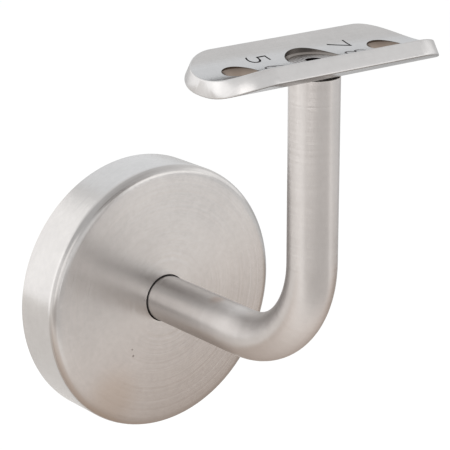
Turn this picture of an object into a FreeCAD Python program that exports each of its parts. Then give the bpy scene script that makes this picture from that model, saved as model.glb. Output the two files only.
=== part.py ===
import FreeCAD, Part
import math
import os

import Sketcher

# Handrail bracket: a bent round bar welded to a round wall plate, a push-on cover
# that hides the plate and its screws, and a curved saddle that carries the rail.
# The origin is the centre of the wall face on the bar's axis. The wall is the plane
# Y = 0, the bar leaves it along -Y, +Z is up and the rail runs along X.

doc = FreeCAD.newDocument("handrail_bracket")

# ---------------------------------------------------------------- driving dimensions
DRIVING = {
    "bar_diameter": 12.0,
    "arm_reach": 71.0,               # wall to the axis of the upright leg
    "arm_rise": 69.5,                # bar's level axis to its flat top end
    "bend_radius": 25.0,             # on the bar's axis
    "plate_thickness": 5.0,
    "plate_edge_chamfer": 0.6,
    "wall_hole_diameter": 7.0,
    "wall_hole_circle": 46.0,
    "wall_hole_count": 3,
    "weld_leg": 3.0,
    "cover_diameter": 70.0,
    "cover_depth": 14.0,             # wall to the cover's front face
    "cover_wall": 1.5,
    "cover_edge_radius": 2.5,
    "cover_bar_clearance": 0.3,      # on the radius, round the bar
    "cover_plate_clearance": 0.3,    # on the radius, round the wall plate
    "rail_diameter": 42.4,
    "saddle_length": 64.0,
    "saddle_width": 24.0,            # along the trough's curve
    "saddle_thickness": 4.0,
    "saddle_corner_radius": 11.0,
    "saddle_edge_break": 0.4,
    "rail_hole_spacing": 43.0,
    "rail_hole_diameter": 5.0,
    "rail_sink_diameter": 8.4,
    "screw_diameter": 6.0,
    "screw_head_diameter": 12.0,
    "screw_head_rim": 0.4,           # short straight rim above the head's cone
    "screw_hole_clearance": 0.3,     # on the radius, where the screw passes the saddle
    "screw_head_sink": 0.8,          # trough's lowest line down to the head's widest place
    "screw_reach": 14.0,             # length of the screw inside the bar
    "thread_clearance": 0.1,         # on the radius, screw to tapped bore
    "tap_run_out": 3.0,              # bore left free below the screw
    "tap_mouth_chamfer": 0.5,
    "hex_key_size": 4.0,
    "hex_key_depth": 2.4,
    "seat_gap": 0.05,                # screw cone to the saddle's countersink
}

# ------------------------------------------------- sizes that follow from the driving ones
FOLLOWING = {
    "bar_radius": "dims.bar_diameter / 2",
    "level_end": "dims.arm_reach - dims.bend_radius",
    "weld_top": "bar_radius + dims.weld_leg",
    "weld_front": "dims.plate_thickness + dims.weld_leg",
    "cover_radius": "dims.cover_diameter / 2",
    "cover_inner_radius": "cover_radius - dims.cover_wall",
    "cover_flat_radius": "cover_radius - dims.cover_edge_radius",
    "cover_bore_radius": "bar_radius + dims.cover_bar_clearance",
    "cover_rim_end": "dims.cover_depth - dims.cover_edge_radius",
    "cover_inner_face": "dims.cover_depth - dims.cover_wall",
    "plate_radius": "cover_inner_radius - dims.cover_plate_clearance",
    "wall_hole_radius": "dims.wall_hole_diameter / 2",
    "wall_hole_offset": "dims.wall_hole_circle / 2",
    "rail_radius": "dims.rail_diameter / 2",
    "saddle_outer_radius": "rail_radius + dims.saddle_thickness",
    "rail_axis": "dims.arm_rise + saddle_outer_radius",
    "saddle_seat": "dims.arm_rise + dims.saddle_thickness",
    "half_angle": "dims.saddle_width / dims.rail_diameter * 180 / pi",
    "lip_inner_y": "rail_radius * sin(half_angle * 1 deg)",
    "lip_inner_z": "rail_axis - rail_radius * cos(half_angle * 1 deg)",
    "lip_outer_y": "saddle_outer_radius * sin(half_angle * 1 deg)",
    "lip_outer_z": "rail_axis - saddle_outer_radius * cos(half_angle * 1 deg)",
    "corner_radius": "min(dims.saddle_corner_radius; 0.97 * lip_inner_y)",
    "rail_hole_offset": "dims.rail_hole_spacing / 2",
    "rail_hole_radius": "dims.rail_hole_diameter / 2",
    "rail_sink_radius": "dims.rail_sink_diameter / 2",
    "rail_sink_bottom": "saddle_seat - (rail_sink_radius - rail_hole_radius)",
    "screw_radius": "dims.screw_diameter / 2",
    "screw_hole_radius": "screw_radius + dims.screw_hole_clearance",
    "head_radius": "dims.screw_head_diameter / 2",
    "screw_sink_radius": "head_radius + dims.screw_head_sink",
    "screw_sink_bottom": "saddle_seat - (screw_sink_radius - screw_hole_radius)",
    "head_cone_top": "saddle_seat - dims.screw_head_sink + dims.seat_gap",
    "head_top": "head_cone_top + dims.screw_head_rim",
    "head_cone_bottom": "head_cone_top - (head_radius - screw_radius)",
    "screw_tip": "dims.arm_rise - dims.screw_reach",
    "tip_chamfer": "dims.thread_clearance * 6",
    "screw_tip_radius": "screw_radius - tip_chamfer",
    "screw_tip_shoulder": "screw_tip + tip_chamfer",
    "tapped_radius": "screw_radius + dims.thread_clearance",
    "tapped_depth": "dims.screw_reach + dims.tap_run_out",
    "head_cone_at_bar": "head_radius - (head_cone_top - dims.arm_rise)",
    "tap_mouth_radius": "max(tapped_radius + dims.tap_mouth_chamfer; "
                        "head_cone_at_bar + dims.thread_clearance)",
    "hex_radius": "dims.hex_key_size / sqrt(3)",
    "hex_half_radius": "hex_radius / 2",
    "hex_half_width": "dims.hex_key_size / 2",
    "cover_inner_edge": "dims.cover_edge_radius - dims.cover_wall",
    "hole_clear_top": "rail_axis - rail_radius / 2",
    "hole_clear_bottom": "dims.arm_rise - dims.saddle_thickness / 2",
}

dims = doc.addObject("Spreadsheet::Sheet", "dims")
for row, (alias, number) in enumerate(DRIVING.items(), start=1):
    dims.set(f"A{row}", alias)
    dims.set(f"B{row}", str(number))
    dims.setAlias(f"B{row}", alias)
worked = doc.addObject("Spreadsheet::Sheet", "worked")
doc.recompute()
for row, (alias, rule) in enumerate(FOLLOWING.items(), start=1):
    worked.set(f"A{row}", alias)
    worked.set(f"B{row}", "=" + rule)
    worked.setAlias(f"B{row}", alias)
    doc.recompute()


# ---------------------------------------------------------------------- small helpers
def formula(name):
    """Expression for a named size; a leading minus sign turns it round."""
    sign = "-" if name.startswith("-") else ""
    key = name.lstrip("-")
    sheet = "dims" if key in DRIVING else "worked"
    return f"{sign}{sheet}.{key}"


def value(name):
    """Present number of a named size, used as a sketch's starting geometry."""
    if name == "0":
        return 0.0
    key = name.lstrip("-")
    sheet = dims if key in DRIVING else worked
    number = float(sheet.get(key))
    return -number if name.startswith("-") else number


def new_body(node):
    body = doc.addObject("PartDesign::Body", node)
    body.Label = node
    return body


def new_sketch(body, name, plane, x="0", y="0", z="0"):
    """Sketch on one of the body's own origin planes, shifted in that plane's own axes."""
    sketch = body.newObject("Sketcher::SketchObject", name)
    role = [item for item in body.Origin.OriginFeatures if item.Role == plane][0]
    sketch.AttachmentSupport = [(role, "")]
    sketch.MapMode = "FlatFace"
    for axis, size in (("x", x), ("y", y), ("z", z)):
        if size != "0":
            sketch.setExpression(f"AttachmentOffset.Base.{axis}", formula(size))
    return sketch


def bind(sketch, kind, *target, size):
    index = sketch.addConstraint(Sketcher.Constraint(kind, *target, value(size)))
    sketch.setExpression(f"Constraints[{index}]", formula(size))


def pin(sketch, curve, point, x, y):
    """Hold one point of a curve at named coordinates; "0" puts it on the axis."""
    for kind, size, axis in (("DistanceX", x, -2), ("DistanceY", y, -1)):
        if size == "0":
            sketch.addConstraint(Sketcher.Constraint("PointOnObject", curve, point, axis))
        else:
            bind(sketch, kind, -1, 1, curve, point, size=size)


def add_circle(sketch, x, y, radius):
    centre = FreeCAD.Vector(value(x), value(y), 0)
    up = FreeCAD.Vector(0, 0, 1)
    curve = sketch.addGeometry(Part.Circle(centre, up, value(radius)))
    pin(sketch, curve, 3, x, y)
    bind(sketch, "Radius", curve, size=radius)


def arc_between(start, end, radius, side):
    """Arc under half a turn from start to end; side 1 turns left, -1 turns right."""
    chord = end - start
    middle = (start + end) * 0.5
    across = FreeCAD.Vector(-chord.y, chord.x, 0).normalize()
    centre = middle + across * (side * math.sqrt(radius ** 2 - chord.Length ** 2 / 4))
    first, last = (start, end) if side > 0 else (end, start)
    angles = [math.atan2(point.y - centre.y, point.x - centre.x) for point in (first, last)]
    circle = Part.Circle(centre, FreeCAD.Vector(0, 0, 1), radius)
    return Part.ArcOfCircle(circle, angles[0], angles[1])


def add_outline(sketch, corners, arcs=None, closed=True):
    """Lines through named corners; arcs gives a radius and side for some of the spans."""
    arcs = arcs or {}
    spots = [FreeCAD.Vector(value(x), value(y), 0) for x, y in corners]
    spans = len(corners) if closed else len(corners) - 1
    ends = []
    for index in range(spans):
        start, end = spots[index], spots[(index + 1) % len(spots)]
        if index in arcs:
            radius, side = arcs[index]
            curve = sketch.addGeometry(arc_between(start, end, value(radius), side))
            bind(sketch, "Radius", curve, size=radius)
            ends.append((curve, 1, 2) if side > 0 else (curve, 2, 1))
        else:
            curve = sketch.addGeometry(Part.LineSegment(start, end))
            ends.append((curve, 1, 2))
    for index, (curve, start_point, end_point) in enumerate(ends):
        pin(sketch, curve, start_point, *corners[index])
        if index > 0 or closed:
            before = ends[index - 1]
            sketch.addConstraint(
                Sketcher.Constraint("Coincident", before[0], before[2], curve, start_point))
    if not closed:
        pin(sketch, ends[-1][0], ends[-1][2], *corners[-1])


def turn(body, name, sketch, axis, cut=False):
    """Full turn of a sketch about one of its own axes."""
    feature = body.newObject("PartDesign::Groove" if cut else "PartDesign::Revolution", name)
    feature.Profile = sketch
    feature.ReferenceAxis = (sketch, [axis])
    feature.Angle = 360
    return feature


def cut_takes_away(body, feature):
    """A cut that points away from the solid raises nothing, so its volume is compared."""
    doc.recompute()
    assert feature.Shape.Volume < feature.BaseFeature.Shape.Volume - 1, feature.Label


def edges_where(shape, test):
    return [f"Edge{index}" for index, edge in enumerate(shape.Edges, start=1) if test(edge)]


# ------------------------------------------------------------------------- wall plate
def build_wall_plate():
    body = new_body("wall_plate")
    disc = new_sketch(body, "plate_disc", "XZ_Plane")
    add_circle(disc, "0", "0", "plate_radius")
    pad = body.newObject("PartDesign::Pad", "plate_pad")
    pad.Profile = disc
    pad.setExpression("Length", "dims.plate_thickness")
    doc.recompute()

    front = -value("plate_thickness")
    broken = body.newObject("PartDesign::Chamfer", "plate_edge")
    broken.Base = (pad, edges_where(
        pad.Shape, lambda edge: abs(edge.BoundBox.YMin - front) < 0.01
        and abs(edge.BoundBox.YMax - front) < 0.01))
    broken.setExpression("Size", "dims.plate_edge_chamfer")
    doc.recompute()

    hole = new_sketch(body, "wall_hole", "XZ_Plane")
    add_circle(hole, "0", "wall_hole_offset", "wall_hole_radius")
    pocket = body.newObject("PartDesign::Pocket", "wall_hole_pocket")
    pocket.Profile = hole
    pocket.Type = "ThroughAll"
    pocket.Reversed = True
    cut_takes_away(body, pocket)
    ring = body.newObject("PartDesign::PolarPattern", "wall_hole_ring")
    ring.Originals = [pocket]
    ring.Axis = (hole, ["N_Axis"])
    ring.Angle = 360
    ring.setExpression("Occurrences", "dims.wall_hole_count")
    body.Tip = ring
    return body


# ------------------------------------------------------------------- weld round the bar
def build_weld_seam():
    body = new_body("weld_seam")
    section = new_sketch(body, "weld_section", "YZ_Plane")
    add_outline(section, [
        ("-plate_thickness", "bar_radius"),
        ("-plate_thickness", "weld_top"),
        ("-weld_front", "bar_radius"),
    ])
    turn(body, "weld_ring", section, "H_Axis")
    return body


# --------------------------------------------------------------------------- bent bar
def build_arm():
    body = new_body("arm")
    path = new_sketch(body, "arm_path", "YZ_Plane")
    add_outline(path, [
        ("-plate_thickness", "0"),
        ("-level_end", "0"),
        ("-arm_reach", "bend_radius"),
        ("-arm_reach", "arm_rise"),
    ], arcs={1: ("bend_radius", -1)}, closed=False)
    section = new_sketch(body, "arm_section", "XZ_Plane", z="plate_thickness")
    add_circle(section, "0", "0", "bar_radius")
    pipe = body.newObject("PartDesign::AdditivePipe", "arm_pipe")
    pipe.Profile = section
    pipe.Spine = path
    doc.recompute()

    mouth = new_sketch(body, "tapped_mouth", "XY_Plane", z="arm_rise")
    add_circle(mouth, "0", "-arm_reach", "tapped_radius")
    doc.recompute()
    bore = body.newObject("PartDesign::Hole", "tapped_bore")
    bore.Profile = mouth
    doc.recompute()
    bore.DepthType = "Dimension"
    bore.DrillPoint = "Angled"
    bore.setExpression("Diameter", "2 * worked.tapped_radius")
    bore.setExpression("Depth", "worked.tapped_depth")
    bore.HoleCutType = "Countersink"
    bore.HoleCutCountersinkAngle = 90
    bore.setExpression("HoleCutDiameter", "2 * worked.tap_mouth_radius")
    cut_takes_away(body, bore)
    return body


# ---------------------------------------------------------------------- push-on cover
def build_cover():
    body = new_body("cover_rosette")
    section = new_sketch(body, "cover_section", "YZ_Plane")
    add_outline(section, [
        ("0", "cover_radius"),
        ("-cover_rim_end", "cover_radius"),
        ("-cover_depth", "cover_flat_radius"),
        ("-cover_depth", "cover_bore_radius"),
        ("-cover_inner_face", "cover_bore_radius"),
        ("-cover_inner_face", "cover_flat_radius"),
        ("-cover_rim_end", "cover_inner_radius"),
        ("0", "cover_inner_radius"),
    ], arcs={1: ("cover_edge_radius", 1), 5: ("cover_inner_edge", -1)})
    turn(body, "cover_shell", section, "H_Axis")
    return body


# ----------------------------------------------------------------- saddle for the rail
def countersink(body, name, x, hole_radius, cone_bottom, sink_radius):
    """Through hole with a 90 degree countersink opening into the trough."""
    section = new_sketch(body, f"{name}_section", "XZ_Plane", x=x, z="arm_reach")
    add_outline(section, [
        ("0", "hole_clear_bottom"),
        (hole_radius, "hole_clear_bottom"),
        (hole_radius, cone_bottom),
        (sink_radius, "saddle_seat"),
        (sink_radius, "hole_clear_top"),
        ("0", "hole_clear_top"),
    ])
    groove = turn(body, name, section, "V_Axis", cut=True)
    cut_takes_away(body, groove)
    return groove


def build_saddle():
    body = new_body("saddle")
    section = new_sketch(body, "saddle_section", "YZ_Plane", x="-arm_reach")
    add_outline(section, [
        ("lip_outer_y", "lip_outer_z"),
        ("lip_inner_y", "lip_inner_z"),
        ("-lip_inner_y", "lip_inner_z"),
        ("-lip_outer_y", "lip_outer_z"),
    ], arcs={1: ("rail_radius", -1), 3: ("saddle_outer_radius", 1)})
    pad = body.newObject("PartDesign::Pad", "saddle_strip")
    pad.Profile = section
    pad.Midplane = True
    pad.setExpression("Length", "dims.saddle_length")
    doc.recompute()

    def is_corner(edge):
        return edge.Curve.TypeId == "Part::GeomLine" and edge.BoundBox.XLength < 0.01

    corners = body.newObject("PartDesign::Fillet", "saddle_corners")
    corners.Base = (pad, edges_where(pad.Shape, is_corner))
    corners.setExpression("Radius", "worked.corner_radius")
    doc.recompute()

    def is_rim(edge):
        """Edges between the strip's thickness and its two curved faces."""
        spots = [edge.valueAt(at) for at in (edge.FirstParameter, edge.LastParameter)]
        far = [math.hypot(spot.y + value("arm_reach"), spot.z - value("rail_axis"))
               for spot in spots]
        radii = (value("rail_radius"), value("saddle_outer_radius"))
        return any(all(abs(reach - radius) < 0.01 for reach in far) for radius in radii)

    broken = body.newObject("PartDesign::Fillet", "saddle_edges")
    broken.Base = (corners, edges_where(corners.Shape, is_rim))
    broken.setExpression("Radius", "dims.saddle_edge_break")
    doc.recompute()

    countersink(body, "screw_hole", "0", "screw_hole_radius", "screw_sink_bottom",
                "screw_sink_radius")
    side = countersink(body, "rail_hole", "rail_hole_offset", "rail_hole_radius",
                       "rail_sink_bottom", "rail_sink_radius")
    other = body.newObject("PartDesign::Mirrored", "rail_hole_pair")
    other.Originals = [side]
    plane = [item for item in body.Origin.OriginFeatures if item.Role == "YZ_Plane"][0]
    other.MirrorPlane = (plane, [""])
    body.Tip = other
    return body


# ------------------------------------------------- countersunk screw through the saddle
def build_saddle_screw():
    body = new_body("saddle_screw")
    section = new_sketch(body, "screw_section", "XZ_Plane", z="arm_reach")
    add_outline(section, [
        ("0", "screw_tip"),
        ("screw_tip_radius", "screw_tip"),
        ("screw_radius", "screw_tip_shoulder"),
        ("screw_radius", "head_cone_bottom"),
        ("head_radius", "head_cone_top"),
        ("head_radius", "head_top"),
        ("0", "head_top"),
    ])
    turn(body, "screw_blank", section, "V_Axis")
    doc.recompute()

    socket = new_sketch(body, "hex_socket", "XY_Plane", y="-arm_reach", z="head_top")
    add_outline(socket, [
        ("hex_radius", "0"),
        ("hex_half_radius", "hex_half_width"),
        ("-hex_half_radius", "hex_half_width"),
        ("-hex_radius", "0"),
        ("-hex_half_radius", "-hex_half_width"),
        ("hex_half_radius", "-hex_half_width"),
    ])
    pocket = body.newObject("PartDesign::Pocket", "hex_pocket")
    pocket.Profile = socket
    pocket.setExpression("Length", "dims.hex_key_depth")
    cut_takes_away(body, pocket)
    return body


bodies = [
    build_wall_plate(),
    build_weld_seam(),
    build_arm(),
    build_cover(),
    build_saddle(),
    build_saddle_screw(),
]
doc.recompute()

# ------------------------------------------------------------------ checks and export
for item in doc.Objects:
    assert "Invalid" not in item.State and "Error" not in item.State, item.Label
for body in bodies:
    assert not body.Shape.isNull() and body.Shape.isValid(), body.Label
    assert len(body.Shape.Solids) == 1, body.Label

os.makedirs("parts", exist_ok=True)
for body in bodies:
    body.Shape.exportStep(f"parts/{body.Label}.step")
    print(f"{body.Label}: {body.Shape.Volume:.1f} mm3, box {body.Shape.BoundBox}")
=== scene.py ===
from math import cos, pi, radians, sin

import bpy
from mathutils import Matrix, Vector


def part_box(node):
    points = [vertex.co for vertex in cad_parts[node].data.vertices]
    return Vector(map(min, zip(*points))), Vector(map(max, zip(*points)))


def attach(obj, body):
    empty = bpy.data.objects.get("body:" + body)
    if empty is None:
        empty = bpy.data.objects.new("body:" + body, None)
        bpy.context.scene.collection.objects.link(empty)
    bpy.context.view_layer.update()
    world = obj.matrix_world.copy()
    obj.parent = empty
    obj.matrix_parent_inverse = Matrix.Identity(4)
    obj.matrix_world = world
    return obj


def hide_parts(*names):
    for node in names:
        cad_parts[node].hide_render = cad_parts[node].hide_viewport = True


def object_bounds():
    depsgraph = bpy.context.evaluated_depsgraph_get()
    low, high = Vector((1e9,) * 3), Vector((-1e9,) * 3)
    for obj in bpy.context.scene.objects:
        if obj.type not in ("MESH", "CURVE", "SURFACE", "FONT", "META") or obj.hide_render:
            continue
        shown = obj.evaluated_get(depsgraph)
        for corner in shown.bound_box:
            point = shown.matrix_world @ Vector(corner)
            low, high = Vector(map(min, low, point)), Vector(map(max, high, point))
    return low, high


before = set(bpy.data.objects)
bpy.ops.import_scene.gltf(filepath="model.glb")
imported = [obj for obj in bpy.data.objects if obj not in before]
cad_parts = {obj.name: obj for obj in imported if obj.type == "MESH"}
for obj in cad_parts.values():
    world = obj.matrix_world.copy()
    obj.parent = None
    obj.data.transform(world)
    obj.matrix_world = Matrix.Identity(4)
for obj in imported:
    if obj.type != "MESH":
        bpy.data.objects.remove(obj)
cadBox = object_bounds()
centre = (cadBox[0] + cadBox[1]) / 2
print("frame loaded:", ", ".join(sorted(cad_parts)))


def direction(azimuth, elevation):
    # azimuth turns from the front towards +X, elevation upwards, in degrees
    level = cos(radians(elevation))
    return Vector((sin(radians(azimuth)) * level, -cos(radians(azimuth)) * level, sin(radians(elevation))))


# camera

camera = {
    "azimuth": -38.58,
    "elevation": 17.91,
    "roll": -0.08,
    "distance": 0.4801,
    "asideOfCentre": -0.0023,
    "aboveCentre": 0.0057,
    "lens": 157.2,
}


def placeCamera():
    back = direction(camera["azimuth"], camera["elevation"])
    right = Vector((0, 0, 1)).cross(back).normalized()
    up = back.cross(right)
    turn = Matrix((right, up, back)).transposed() @ Matrix.Rotation(radians(camera["roll"]), 3, "Z")
    aim = centre + turn @ Vector((camera["asideOfCentre"], camera["aboveCentre"], 0))
    lens = bpy.data.cameras.new("camera")
    lens.lens = camera["lens"]
    lens.clip_start = 0.01
    body = bpy.data.objects.new("camera", lens)
    body.matrix_world = Matrix.Translation(aim + back * camera["distance"]) @ turn.to_4x4()
    bpy.context.scene.collection.objects.link(body)
    bpy.context.scene.camera = body


placeCamera()
print("camera placed")


# shader sums

class Wire:
    # one socket of a material or world: each operator adds a Math node behind it
    def __init__(self, tree, socket=None):
        self.tree = tree
        self.socket = socket

    def node(self, kind, settings=None, sockets=None, out=0):
        made = self.tree.nodes.new("ShaderNode" + kind)
        for name, value in (settings or {}).items():
            setattr(made, name, value)
        for name, value in (sockets or {}).items():
            if isinstance(value, Wire):
                self.tree.links.new(value.socket, made.inputs[name])
            else:
                made.inputs[name].default_value = value
        return Wire(self.tree, made.outputs[out]) if made.outputs else None

    def math(self, operation, *values):
        return self.node("Math", {"operation": operation}, dict(enumerate(values)))

    def vector(self, operation, *values, out=0):
        return self.node("VectorMath", {"operation": operation}, dict(enumerate(values)), out)

    def __add__(self, other):
        return self.math("ADD", self, other)

    def __radd__(self, other):
        return self.math("ADD", other, self)

    def __sub__(self, other):
        return self.math("SUBTRACT", self, other)

    def __rsub__(self, other):
        return self.math("SUBTRACT", other, self)

    def __mul__(self, other):
        return self.math("MULTIPLY", self, other)

    def __rmul__(self, other):
        return self.math("MULTIPLY", other, self)

    def __truediv__(self, other):
        return self.math("DIVIDE", self, other)

    def __neg__(self):
        return self.math("MULTIPLY", self, -1)

    def parts(self):
        split = self.tree.nodes.new("ShaderNodeSeparateXYZ")
        self.tree.links.new(self.socket, split.inputs[0])
        return [Wire(self.tree, socket) for socket in split.outputs]

    def joined(self, x, y, z):
        return self.node("CombineXYZ", {}, {0: x, 1: y, 2: z})

    def scaled(self, amount):
        return self.node("VectorMath", {"operation": "SCALE"}, {0: self, 3: amount})

    def noise(self, at, scale=1.0, detail=2.0, rough=0.5):
        return self.node("TexNoise", {}, {"Vector": at, "Scale": scale, "Detail": detail, "Roughness": rough})

    def fade(self, start, end):
        # 0 at start, 1 at end, smooth between
        return self.node("MapRange", {"interpolation_type": "SMOOTHSTEP"},
                         {"Value": self, "From Min": start, "From Max": end})

    def blend(self, factor, first, second):
        mixed = self.tree.nodes.new("ShaderNodeMix")
        mixed.data_type = "RGBA"
        for socket, value in ((mixed.inputs[0], factor), (mixed.inputs[6], first), (mixed.inputs[7], second)):
            if isinstance(value, Wire):
                self.tree.links.new(value.socket, socket)
            else:
                socket.default_value = value
        return Wire(self.tree, mixed.outputs[2])


# steel finishes

millimetres = 1000


def newMaterial(name):
    material = bpy.data.materials.new(name)
    material.use_nodes = True
    material.node_tree.nodes.clear()
    return material, Wire(material.node_tree)


def finishSteel(wire, colour, roughness, normal, grazing=0.9):
    shader = wire.node("BsdfPrincipled", {},
                       {"Base Color": colour, "Metallic": 1.0, "Roughness": roughness, "Normal": normal,
                        "Specular Tint": (grazing, grazing, grazing, 1)})
    wire.node("OutputMaterial", {}, {"Surface": shader})


def tilted(wire, normal, across, amount):
    # the object's own normal pushed sideways, turned into the world's directions
    normal = wire.vector("NORMALIZE", wire.vector("ADD", normal, across.scaled(amount)))
    return wire.node("VectorTransform", {"vector_type": "NORMAL", "convert_from": "OBJECT",
                                         "convert_to": "WORLD"}, {0: normal})


broadStretch = 0.3


def grained(wire, look, normal, across, lay):
    # lay's first part counts across the grooves, in millimetres, and the others run along them
    groove = wire.math("FLOOR", lay.parts()[0] * look["fineGrooves"])
    fine = wire.node("TexWhiteNoise", {"noise_dimensions": "1D"}, {"W": groove}) - 0.5
    broad = wire.noise(wire.vector("MULTIPLY", lay, (look["broadGrooves"], broadStretch, broadStretch)),
                       detail=1.0) - 0.5
    push = fine * look["fineTilt"] + broad * look["broadTilt"]
    shade = 1 + broad * look["shadeVariation"]
    return tilted(wire, normal, across, push), shade


def tinted(wire, colour, shade):
    return wire.node("VectorMath", {"operation": "SCALE"}, {0: colour, 3: shade})


def spot(wire, place, middle, inner, outer):
    # 1 within inner of a point, 0 beyond outer
    away = wire.vector("DISTANCE", place, middle, out="Value")
    return 1 - away.fade(inner, outer)


handling = {"smudges": 70.0, "smudgeRough": 0.6, "smudgeShare": 2, "speckles": 700.0}


def clouded(wire, place, amount):
    # wide smudges and fine speckles from handling, brighter and darker
    smudged = wire.noise(place, scale=handling["smudges"], detail=3.0, rough=handling["smudgeRough"]) - 0.5
    speckled = wire.noise(place, scale=handling["speckles"]) - 0.5
    return 1 + smudged * amount * handling["smudgeShare"] + speckled * amount


def onSide(x, z, radius, side):
    # 1 on one side of the y axis, -1 on the other, even in between
    return (x * side[0] + z * side[1]) / radius


coverLook = {
    "steel": (0.53, 0.515, 0.505),
    "roughness": 0.22,
    "fineGrooves": 60.0,
    "fineTilt": 0.22,
    "broadGrooves": 2.2,
    "broadTilt": 0.003,
    "shadeVariation": 0.04,
    "lean": 0.020,
    "clouds": 0.10,
    "turns": 3,
    # the pressed edge's band, by radius, and the side where painted shade darkens it most
    "bandStart": (0.0334, 0.0342),
    "bandEnd": (0.0348, 0.03498),
    "edgePaintedShade": 0.28,
    "edgeShadeSide": (-0.83, 0.55),
    "edgeShadeFade": (0.25, 0.85),
    # stains and specks: middle, then inner and outer reach
    "stainColour": (0.47, 0.40, 0.34),
    "edgeStainSide": (-0.77, -0.64),
    "edgeStainFade": (0.5, 0.95),
    "edgeStainStrength": 0.4,
    "warmStain": ((-0.0175, -0.014, -0.0235), 0.002, 0.011),
    "warmStainStrength": 0.5,
    "specks": (
        ((-0.0107, -0.014, -0.0135), 0.0001, 0.0004),
        ((-0.0110, -0.014, -0.0117), 0.0001, 0.0003),
    ),
    "speckColour": (0.12, 0.09, 0.08),
    "speckStrength": 0.8,
}


def coverSteel():
    look = coverLook
    material, wire = newMaterial("brushedCover")
    place = wire.node("TexCoord", out="Object")
    normal = wire.node("TexCoord", out="Normal")
    x, y, z = place.parts()
    radius = wire.vector("LENGTH", wire.joined(x, 0.0, z), out="Value")
    around = wire.vector("NORMALIZE", wire.joined(z, 0.0, -x))
    across = wire.vector("NORMALIZE", wire.vector("CROSS_PRODUCT", around, normal))
    # shading only: reflections lean upwards, though the cover sits square on the bar
    normal = wire.vector("ADD", normal, (0.0, 0.0, look["lean"]))
    lay = wire.joined((radius - y) * millimetres, x / radius * look["turns"], z / radius * look["turns"])
    normal, shade = grained(wire, look, normal, across, lay)
    # painted shade on the pressed edge's band, most of all at the upper left
    band = radius.fade(*look["bandStart"]) * (1 - radius.fade(*look["bandEnd"]))
    upperLeft = onSide(x, z, radius, look["edgeShadeSide"]).fade(*look["edgeShadeFade"])
    shade = shade * (1 - look["edgePaintedShade"] * band * upperLeft)
    colour = tinted(wire, look["steel"], shade * clouded(wire, place, look["clouds"]))
    stain = (*look["stainColour"], 1)
    lowerLeft = onSide(x, z, radius, look["edgeStainSide"]).fade(*look["edgeStainFade"])
    colour = wire.blend(band * lowerLeft * look["edgeStainStrength"], colour, stain)
    colour = wire.blend(spot(wire, place, *look["warmStain"]) * look["warmStainStrength"], colour, stain)
    for speck in look["specks"]:
        dark = spot(wire, place, *speck) * look["speckStrength"]
        colour = wire.blend(dark, colour, (*look["speckColour"], 1))
    finishSteel(wire, colour, look["roughness"], normal)
    return material


barLook = {
    "steel": (0.535, 0.51, 0.495),
    "roughness": 0.30,
    "bendRadius": 0.025,
    "fineGrooves": 60.0,
    "fineTilt": 0.20,
    "broadGrooves": 1.6,
    "broadTilt": 0.0,
    "shadeVariation": 0.02,
    "clouds": 0.08,
    "grooveWander": 400,
    # painted sheen, paler on top of the level leg: reach past the bend's start, and how far round the bar
    "sheenReach": 0.030,
    "sheenRound": (-0.6, 0.1),
    "sheenGain": 0.06,
    "drawnAcross": 2200,
    "drawnAlong": 60,
    "drawnShade": 0.05,
    "stain": ((-0.0005, -0.036, 0.006), 0.0004, 0.0030),
    "stainColour": (0.42, 0.31, 0.25),
    "stainStrength": 0.5,
    # the top end face, painted pale as light in the gap under the saddle: depth and colour
    "endFaceDepth": 0.00005,
    "endLightColour": (0.88, 0.85, 0.82),
}


def barSteel():
    look = barLook
    low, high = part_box("arm")
    barRadius = high.x
    bendY = low.y + barRadius + look["bendRadius"]
    bendZ = look["bendRadius"]
    material, wire = newMaterial("brushedBar")
    place = wire.node("TexCoord", out="Object")
    normal = wire.node("TexCoord", out="Normal")
    x, y, z = place.parts()
    # from the bend's centre, held on its near side along the straight legs
    fromY = wire.math("MINIMUM", y - bendY, 0.0)
    fromZ = wire.math("MINIMUM", z - bendZ, 0.0)
    arm = wire.vector("LENGTH", wire.joined(0.0, fromY, fromZ), out="Value")
    along = wire.vector("NORMALIZE", wire.joined(0.0, fromZ, -fromY))
    angle = wire.math("ARCTAN2", -fromY, -fromZ)
    beyondY = wire.math("MAXIMUM", y - bendY, 0.0)
    beyondZ = wire.math("MAXIMUM", z - bendZ, 0.0)
    run = angle * look["bendRadius"] + beyondZ - beyondY
    lay = wire.joined(run * millimetres, x * look["grooveWander"], arm * look["grooveWander"])
    upward = normal.parts()[2]
    normal, shade = grained(wire, look, normal, along, lay)
    # painted sheen: the level leg is paler on top
    paintedSheen = (1 - run.fade(0.0, look["sheenReach"])) * upward.fade(*look["sheenRound"])
    # faint lines drawn lengthwise
    drawnPlace = wire.joined(x * look["drawnAcross"], run * look["drawnAlong"], arm * look["drawnAcross"])
    drawn = wire.noise(drawnPlace) - 0.5
    shade = shade + drawn * look["drawnShade"] + paintedSheen * look["sheenGain"]
    colour = tinted(wire, look["steel"], shade * clouded(wire, place, look["clouds"]))
    stained = spot(wire, place, *look["stain"]) * look["stainStrength"]
    colour = wire.blend(stained, colour, (*look["stainColour"], 1))
    # painted light: the top end face is pale, lifting the shade in the gap under the saddle
    paintedEndLight = wire.math("GREATER_THAN", z, high.z - look["endFaceDepth"])
    colour = wire.blend(paintedEndLight, colour, (*look["endLightColour"], 1))
    finishSteel(wire, colour, look["roughness"], normal)
    return material


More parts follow.
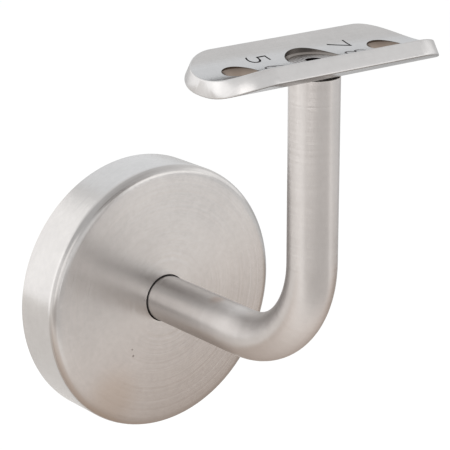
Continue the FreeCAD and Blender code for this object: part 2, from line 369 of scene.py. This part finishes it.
saddleLook = {
    "steel": (0.53, 0.52, 0.515),
    "roughness": 0.18,
    "fineGrooves": 60.0,
    "fineTilt": 0.07,
    "broadGrooves": 2.0,
    "broadTilt": 0.010,
    "shadeVariation": 0.06,
    "clouds": 0.09,
    "grazing": 0.72,
    "edgeRougher": 0.11,
    "edgeHighlightGain": 0.035,
    "grooveLength": 150,
    "grooveWander": 200,
    # the saddle's own shape: the rail's axis in y and z, then radii, with slack for a mesh of flat faces
    "railAxis": (-0.071, 0.0947),
    "troughRadius": 0.0212,
    "troughSlack": 0.00003,
    "backRadius": 0.0252,
    "backSlack": 0.00010,
    "holeX": 0.0215,
    "holeReach": 0.00422,
    "middleReach": 0.00682,
    "reachSlack": 0.00007,
    "holeBore": 0.0025,
    "middleBore": 0.0033,
    "boreSlack": 0.00005,
    "underside": -0.5,
    # painted shade on a stretch of the trough, by y, and darker still at its right end, by x
    "troughShadeStart": (-0.0815, -0.0790),
    "troughShadeEnd": (-0.0745, -0.0715),
    "troughShadeLevel": 0.05,
    "troughShadeRight": (0.004, 0.016),
    "troughShadeRightLevel": 0.11,
    # painted shade inside the holes, darker towards the rim, which lies between these heights
    "holeShadeColour": (0.27, 0.22, 0.185),
    "middleShadeColour": (0.31, 0.285, 0.265),
    "holeRougher": 0.12,
    "deepShade": 1.12,
    "rimDarker": 0.5,
    "rimHeights": (0.0722, 0.0739),
    # painted light on the back round the bar's end: reach and colour
    "backLightReach": 0.0064,
    "backLightColour": (0.88, 0.85, 0.82),
}


def saddleSteel():
    look = saddleLook
    material, wire = newMaterial("brushedSaddle")
    place = wire.node("TexCoord", out="Object")
    normal = wire.node("TexCoord", out="Normal")
    x, y, z = place.parts()
    # which hole a point is in, if any: the underside round it doesn't count
    aside = y - look["railAxis"][0]
    radiusFromBar = wire.vector("LENGTH", wire.joined(x, aside, 0.0), out="Value")
    middle = wire.math("LESS_THAN", radiusFromBar, look["middleReach"])
    fromHole = x - wire.math("SIGN", x) * (1 - middle) * look["holeX"]
    radius = wire.vector("LENGTH", wire.joined(fromHole, aside, 0.0), out="Value")
    above = wire.math("GREATER_THAN", normal.parts()[2], look["underside"])
    within = wire.math("MAXIMUM", middle, wire.math("LESS_THAN", radius, look["holeReach"])) * above
    # cut faces take their exact normals: holes, trough and back
    boreRadius = look["holeBore"] + middle * (look["middleBore"] - look["holeBore"])
    sinkRadius = look["holeReach"] + middle * (look["middleReach"] - look["holeReach"])
    cone = (wire.math("GREATER_THAN", radius, boreRadius + look["boreSlack"])
            * wire.math("LESS_THAN", radius, sinkRadius - look["reachSlack"]))
    intoHole = wire.vector("NORMALIZE", wire.joined(-fromHole, -aside, cone * radius))
    height = z - look["railAxis"][1]
    arm = wire.vector("LENGTH", wire.joined(0.0, aside, height), out="Value")
    outward = wire.vector("NORMALIZE", wire.joined(0.0, aside, height))
    trough = wire.math("LESS_THAN", arm, look["troughRadius"] + look["troughSlack"]) * (1 - within)
    back = wire.math("GREATER_THAN", arm, look["backRadius"] - look["backSlack"]) * (1 - within)
    edge = (1 - trough) * (1 - back) * (1 - within)
    kept = normal.scaled(1 - trough - back - within)
    exact = wire.vector("ADD", outward.scaled(back - trough), intoHole.scaled(within))
    normal = wire.vector("ADD", kept, exact)
    across = wire.vector("CROSS_PRODUCT", normal, (1, 0, 0))
    lay = wire.joined((y + z) * millimetres, x * look["grooveLength"], (y - z) * look["grooveWander"])
    normal, shade = grained(wire, look, normal, across, lay)
    colour = tinted(wire, look["steel"], shade * clouded(wire, place, look["clouds"]))
    # painted light: pale where it bears on the bar's end, lifting the shade in the gap there
    paintedBackLight = back * wire.math("LESS_THAN", radiusFromBar, look["backLightReach"])
    colour = wire.blend(paintedBackLight, colour, (*look["backLightColour"], 1))
    # painted shade: the trough's near side is a little darker
    troughShading = trough * y.fade(*look["troughShadeStart"]) * (1 - y.fade(*look["troughShadeEnd"]))
    troughShadeAmount = look["troughShadeLevel"] + look["troughShadeRightLevel"] * x.fade(*look["troughShadeRight"])
    colour = tinted(wire, colour, 1 - troughShading * troughShadeAmount)
    # painted shade inside the holes
    holeShading = wire.blend(middle, (*look["holeShadeColour"], 1), (*look["middleShadeColour"], 1))
    holeShade = look["deepShade"] - look["rimDarker"] * z.fade(*look["rimHeights"])
    colour = wire.blend(within, colour, tinted(wire, holeShading, holeShade))
    # painted highlight: the rounded edges are a little paler; they are also less smooth
    colour = tinted(wire, colour, 1 + edge * look["edgeHighlightGain"])
    roughness = look["roughness"] + look["holeRougher"] * within + look["edgeRougher"] * edge
    finishSteel(wire, colour, roughness, normal, look["grazing"])
    return material


plateLook = {
    "steel": (0.47, 0.46, 0.45),
    "grit": 900.0,
    "blotches": 60.0,
    "dullest": 0.9,
    "blotchGain": 0.2,
    "roughness": 0.3,
    "gritRougher": 0.18,
    "gritStrength": 0.3,
    "gritHeight": 0.0002,
}


def plateSteel():
    look = plateLook
    material, wire = newMaterial("satinPlate")
    place = wire.node("TexCoord", out="Object")
    grit = wire.noise(place, scale=look["grit"], detail=4.0)
    blotch = wire.noise(place, scale=look["blotches"], detail=3.0)
    colour = tinted(wire, look["steel"], look["dullest"] + look["blotchGain"] * blotch)
    bump = wire.node("Bump", {}, {"Strength": look["gritStrength"], "Distance": look["gritHeight"],
                                  "Height": grit})
    finishSteel(wire, colour, look["roughness"] + look["gritRougher"] * grit, bump)
    return material


screwLook = {
    "steel": (0.33, 0.31, 0.30),
    "roughness": 0.24,
    "ringTilt": 0.10,
    "rings": 7000.0,
    "recess": (0.0021, 0.0024),
    "recessShade": (0.06, 0.045, 0.04),
    "recessShadeStrength": 0.75,
}


def screwSteel():
    look = screwLook
    material, wire = newMaterial("turnedScrew")
    place = wire.node("TexCoord", out="Object")
    normal = wire.node("TexCoord", out="Normal")
    x, y, z = place.parts()
    outward = wire.joined(x, y - saddleLook["railAxis"][0], 0.0)
    radius = wire.vector("LENGTH", outward, out="Value")
    ring = wire.math("SINE", radius * look["rings"])
    normal = tilted(wire, normal, wire.vector("NORMALIZE", outward), ring * look["ringTilt"])
    # painted shade: the key's recess is dark
    deep = 1 - radius.fade(*look["recess"])
    colour = wire.blend(deep * look["recessShadeStrength"], (*look["steel"], 1), (*look["recessShade"], 1))
    finishSteel(wire, colour, look["roughness"], normal)
    return material


weldLook = {
    "steel": (0.46, 0.44, 0.41),
    "straw": (0.50, 0.38, 0.22),
    "blue": (0.26, 0.28, 0.36),
    "blueStrength": 0.6,
    "heated": (0.0068, 0.0092),
    "patches": 400.0,
    "roughness": 0.30,
    "patchRougher": 0.15,
    "crust": 2500.0,
    "crustStrength": 0.2,
    "crustHeight": 0.0001,
}


def weldSteel():
    look = weldLook
    material, wire = newMaterial("weldBead")
    place = wire.node("TexCoord", out="Object")
    x, y, z = place.parts()
    radius = wire.vector("LENGTH", wire.joined(x, 0.0, z), out="Value")
    heat = radius.fade(*look["heated"])
    patch = wire.noise(place, scale=look["patches"], detail=3.0)
    colour = wire.blend(heat * patch, (*look["steel"], 1), (*look["straw"], 1))
    colour = wire.blend(heat * heat * (1 - patch) * look["blueStrength"], colour, (*look["blue"], 1))
    crust = wire.noise(place, scale=look["crust"])
    bump = wire.node("Bump", {}, {"Strength": look["crustStrength"], "Distance": look["crustHeight"],
                                  "Height": crust})
    finishSteel(wire, colour, look["roughness"] + look["patchRougher"] * patch, bump)
    return material


markLook = {
    "dark": (0.13, 0.12, 0.125),
    "patches": 900.0,
    "dullest": 0.8,
    "patchGain": 0.4,
    "roughness": 0.42,
    "bumpStrength": 0.1,
    "bumpHeight": 0.0001,
}


def markSteel():
    look = markLook
    material, wire = newMaterial("engravedMark")
    place = wire.node("TexCoord", out="Object")
    patch = wire.noise(place, scale=look["patches"])
    colour = tinted(wire, look["dark"], look["dullest"] + look["patchGain"] * patch)
    bump = wire.node("Bump", {}, {"Strength": look["bumpStrength"], "Distance": look["bumpHeight"],
                                  "Height": patch})
    finishSteel(wire, colour, look["roughness"], bump)
    return material


steels = {
    "cover_rosette": coverSteel(),
    "arm": barSteel(),
    "saddle": saddleSteel(),
    "saddle_screw": screwSteel(),
    "wall_plate": plateSteel(),
    "weld_seam": weldSteel(),
}
for node, steel in steels.items():
    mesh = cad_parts[node].data
    mesh.materials.clear()
    mesh.materials.append(steel)
print("steel finishes made")


def pickOnly(piece):
    bpy.ops.object.select_all(action="DESELECT")
    piece.select_set(True)
    bpy.context.view_layer.objects.active = piece


# plain figures cut into the trough in two pairs, each read from the back towards the front:
# figure, place along the rail, place round the trough
engraving = {
    "height": 0.0088,
    "thinner": -0.00017,
    "depth": 0.0004,
    "halfThick": 0.0005,
    "smoothAngle": 14,
    "figures": (
        ("5", -0.0126, 0.0052),
        ("6", -0.0126, -0.0010),
        ("7", 0.0113, 0.0052),
        ("8", 0.0113, -0.0010),
    ),
}


def figureCutter(figure, x, arc, finish):
    look = engraving
    bpy.ops.object.text_add()
    letters = bpy.context.object
    letters.data.body = figure
    letters.data.size = look["height"]
    letters.data.offset = look["thinner"]
    letters.data.extrude = look["halfThick"]
    letters.data.align_x = "CENTER"
    letters.data.align_y = "CENTER"
    pickOnly(letters)
    bpy.ops.object.convert(target="MESH")
    cutter = bpy.context.object
    angle = arc / saddleLook["troughRadius"]
    out = Vector((0, -sin(angle), cos(angle)))
    reading = Vector((0, -cos(angle), -sin(angle)))
    turn = Matrix((reading, (1, 0, 0), out)).transposed().to_4x4()
    axisY, axisZ = saddleLook["railAxis"]
    ground = Vector((x, axisY, axisZ)) - out * saddleLook["troughRadius"]
    cutter.matrix_world = Matrix.Translation(ground + out * (look["halfThick"] - look["depth"])) @ turn
    bpy.ops.object.transform_apply(location=True, rotation=True, scale=True)
    cutter.data.materials.clear()
    cutter.data.materials.append(finish)
    return cutter


def markedSaddle():
    finish = markSteel()
    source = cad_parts["saddle"]
    saddle = bpy.data.objects.new("markedSaddle", source.data.copy())
    bpy.context.scene.collection.objects.link(saddle)
    pickOnly(saddle)
    bpy.ops.object.mode_set(mode="EDIT")
    bpy.ops.mesh.select_all(action="SELECT")
    bpy.ops.mesh.remove_doubles(threshold=1e-6)
    bpy.ops.object.mode_set(mode="OBJECT")
    for figure, x, arc in engraving["figures"]:
        cutter = figureCutter(figure, x, arc, finish)
        pickOnly(saddle)
        cut = saddle.modifiers.new("cut", "BOOLEAN")
        cut.operation = "DIFFERENCE"
        cut.solver = "EXACT"
        cut.material_mode = "TRANSFER"
        cut.object = cutter
        bpy.ops.object.modifier_apply(modifier="cut")
        bpy.data.objects.remove(cutter)
    bpy.ops.object.shade_smooth_by_angle(angle=radians(engraving["smoothAngle"]))
    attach(saddle, "bracket")
    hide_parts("saddle")
    print("saddle marked:", len(saddle.data.polygons), "faces")


markedSaddle()


# weld bead laid in overlapping drops round the foot of the bar

weldBead = {
    "drops": 24,
    "ring": 0.0071,
    "y": -0.0062,
    "across": 0.0018,
    "along": 0.0016,
    "grain": 0.00022,
    "softening": 4,
}


def rippledWeld():
    look = weldBead
    drops = []
    for count in range(look["drops"]):
        turn = 2 * pi * count / look["drops"]
        place = (look["ring"] * cos(turn), look["y"], look["ring"] * sin(turn))
        bpy.ops.mesh.primitive_uv_sphere_add(segments=24, ring_count=16, radius=1, location=place,
                                             rotation=(0, -turn, 0),
                                             scale=(look["across"], look["across"], look["along"]))
        drops.append(bpy.context.object)
    for drop in drops:
        drop.select_set(True)
    bpy.context.view_layer.objects.active = drops[0]
    bpy.ops.object.join()
    bead = bpy.context.object
    bead.name = "rippledWeld"
    bpy.ops.object.transform_apply(location=True, rotation=True, scale=True)
    merge = bead.modifiers.new("merge", "REMESH")
    merge.mode = "VOXEL"
    merge.voxel_size = look["grain"]
    bpy.ops.object.modifier_apply(modifier="merge")
    soften = bead.modifiers.new("soften", "SMOOTH")
    soften.iterations = look["softening"]
    bpy.ops.object.modifier_apply(modifier="soften")
    bpy.ops.object.shade_smooth()
    bead.data.materials.clear()
    bead.data.materials.append(steels["weld_seam"])
    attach(bead, "bracket")
    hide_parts("weld_seam")
    print("weld laid:", len(bead.data.polygons), "faces")


rippledWeld()


# studio

studio = {
    "distance": 0.9,
    "daylight": 0.55,
    "floorBelow": 0.25,
    "floorSize": 6.0,
    "floorMatt": 0.8,
    "floorDim": 0.2,
    "floorGlow": 0.90,
}

# each box: azimuth, elevation, width and height in degrees, brightness over the white around it, colour
softBoxes = {
    "rearLeft": (-141, 16, 80, 60, 0.54, (1.0, 0.99, 0.985)),
    "farLeft": (-104, 9, 34, 46, 0.58, (1.0, 0.99, 0.98)),
    "frontLeft": (-70, 6, 44, 40, 0.36, (1.0, 0.97, 0.95)),
    "frontRight": (42, 14, 36, 24, 0.80, (1.0, 0.97, 0.95)),
    "overCamera": (-48, 16, 34, 40, 0.85, (1.0, 0.97, 0.95)),
    "right": (74, 18, 44, 30, 0.42, (1.0, 1.0, 1.0)),
    "rearRight": (152, 28, 44, 44, 0.20, (0.8, 0.95, 1.1)),
}


def facing(towards):
    # turns -Z along the direction
    return towards.to_track_quat("-Z", "Y").to_matrix().to_4x4()


def spanOf(degreesWide):
    return 2 * studio["distance"] * sin(radians(degreesWide / 2))


def placeLights():
    for name, (azimuth, elevation, wide, high, level, colour) in softBoxes.items():
        lamp = bpy.data.lights.new(name, "AREA")
        lamp.shape = "RECTANGLE"
        lamp.size = spanOf(wide)
        lamp.size_y = spanOf(high)
        lamp.energy = level * pi * lamp.size * lamp.size_y
        lamp.color = colour
        holder = bpy.data.objects.new(name, lamp)
        away = direction(azimuth, elevation)
        holder.matrix_world = Matrix.Translation(centre + away * studio["distance"]) @ facing(-away)
        holder.visible_camera = False
        bpy.context.scene.collection.objects.link(holder)


# panels that only reflections see, to shade the steel: middle, facing, width and height, level, colour
uprightPanels = {
    "frontPanel": ((0.0, -0.42, -0.03), (0, 1, 0), (0.34, 0.06), 0.70, (1.0, 0.965, 0.94)),
    "rightPanel": ((0.20, -0.18, 0.0), (-1, 0, 0), (0.24, 0.16), 0.95, (1.0, 1.0, 1.0)),
    "rightRearPanel": ((0.20, 0.10, -0.025), (-1, 0, 0), (0.32, 0.11), 0.72, (1.0, 1.0, 1.0)),
    "overPanel": ((0.030, -0.170, 0.410), (-0.08, 0.40, -0.90), (0.34, 0.17), 0.86, (1.0, 0.98, 0.97)),
    "edgePanel": ((0.294, -0.27, 0.229), (-0.6, 0.6, -0.5), (0.20, 0.12), 1.12, (1.0, 1.0, 1.0)),
    "rearUnderPanel": ((-0.25, 0.38, -0.12), (0, 0, 1), (0.7, 0.6), 1.02, (1.0, 0.97, 0.94)),
}

# a level panel just under the object: dark close by, brighter farther out, even at the far left
underPanel = {
    "below": 0.010,
    "left": -0.5,
    "right": 0.6,
    "depth": 0.7,
    "slant": 0.46,
    "darkest": 0.52,
    "brightest": 1.37,
    "rise": (-0.02, 0.15),
    "farLeft": 0.95,
    "farLeftFade": (-0.38, -0.28),
    "shade": (1.0, 0.84, 0.73),
    "open": (1.0, 0.985, 0.97),
    "frontSlant": 0.55,
    "frontLevel": 0.80,
    "frontRight": (-0.02, 0.03),
    "frontAhead": (0.09, 0.14),
    "frontColour": (1.0, 0.965, 0.94),
}


def hideFromAllButGloss(panel):
    for ray in ("camera", "diffuse", "shadow", "transmission"):
        setattr(panel, "visible_" + ray, False)


def standPanels():
    for name, (middle, towards, size, level, colour) in uprightPanels.items():
        bpy.ops.mesh.primitive_plane_add(size=1)
        panel = bpy.context.object
        panel.name = name
        panel.matrix_world = (Matrix.Translation(middle) @ facing(-Vector(towards))
                              @ Matrix.Diagonal((*size, 1, 1)))
        material, wire = newMaterial(name)
        shine = wire.node("Emission", {}, {"Color": (*colour, 1), "Strength": level})
        wire.node("OutputMaterial", {}, {"Surface": shine})
        panel.data.materials.append(material)
        hideFromAllButGloss(panel)


def layUnderPanel():
    look = underPanel
    wide = look["right"] - look["left"]
    middle = (look["left"] + wide / 2, -look["depth"] / 2, cadBox[0].z - look["below"])
    bpy.ops.mesh.primitive_plane_add(size=1, location=middle)
    panel = bpy.context.object
    panel.name = "underPanel"
    panel.scale = (wide, look["depth"], 1)
    bpy.ops.object.transform_apply(location=True, rotation=True, scale=True)
    material, wire = newMaterial("underPanel")
    x, y, z = wire.node("TexCoord", out="Object").parts()
    rise = (-y - x * look["slant"]).fade(*look["rise"])
    colour = wire.blend(rise, (*look["shade"], 1), (*look["open"], 1))
    level = look["darkest"] + (look["brightest"] - look["darkest"]) * rise
    level = look["farLeft"] + (level - look["farLeft"]) * x.fade(*look["farLeftFade"])
    # a greyer strip straight ahead, for the upright bar
    aside = (x + y * look["frontSlant"]).fade(*look["frontRight"])
    ahead = (1 - aside) * (-y).fade(*look["frontAhead"])
    colour = wire.blend(ahead, colour, (*look["frontColour"], 1))
    level = level + (look["frontLevel"] - level) * ahead
    shine = wire.node("Emission", {}, {"Color": colour, "Strength": level})
    wire.node("OutputMaterial", {}, {"Surface": shine})
    panel.data.materials.append(material)
    hideFromAllButGloss(panel)


def seenWhite(wire):
    # 1 for the rays that show the surroundings, 0 for those that light them
    path = wire.tree.nodes.new("ShaderNodeLightPath")
    kinds = [Wire(wire.tree, path.outputs[name])
             for name in ("Is Camera Ray", "Is Glossy Ray", "Is Transmission Ray")]
    return wire.math("MAXIMUM", wire.math("MAXIMUM", kinds[0], kinds[1]), kinds[2])


def paintWorld():
    world = bpy.data.worlds.new("studio")
    bpy.context.scene.world = world
    world.use_nodes = True
    world.node_tree.nodes.clear()
    wire = Wire(world.node_tree)
    level = studio["daylight"] + (1 - studio["daylight"]) * seenWhite(wire)
    background = wire.node("Background", {}, {"Color": (1, 1, 1, 1), "Strength": level})
    wire.node("OutputWorld", {}, {"Surface": background})


def layFloor():
    middle = (0, centre.y, cadBox[0].z - studio["floorBelow"])
    bpy.ops.mesh.primitive_plane_add(size=studio["floorSize"], location=middle)
    floor = bpy.context.object
    floor.name = "floor"
    material, wire = newMaterial("paleFloor")
    grey = [(studio[name], studio[name], studio[name], 1) for name in ("floorMatt", "floorDim")]
    matt = wire.node("BsdfDiffuse", {}, {"Color": grey[0]})
    dim = wire.node("BsdfDiffuse", {}, {"Color": grey[1]})
    glow = wire.node("Emission", {}, {"Color": (1, 1, 1, 1), "Strength": studio["floorGlow"]})
    white = wire.node("AddShader", {}, {0: dim, 1: glow})
    shown = wire.node("MixShader", {}, {0: seenWhite(wire), 1: matt, 2: white})
    wire.node("OutputMaterial", {}, {"Surface": shown})
    floor.data.materials.append(material)


placeLights()
standPanels()
layUnderPanel()
paintWorld()
layFloor()
bpy.context.scene.view_settings.view_transform = "Standard"
print("studio set")
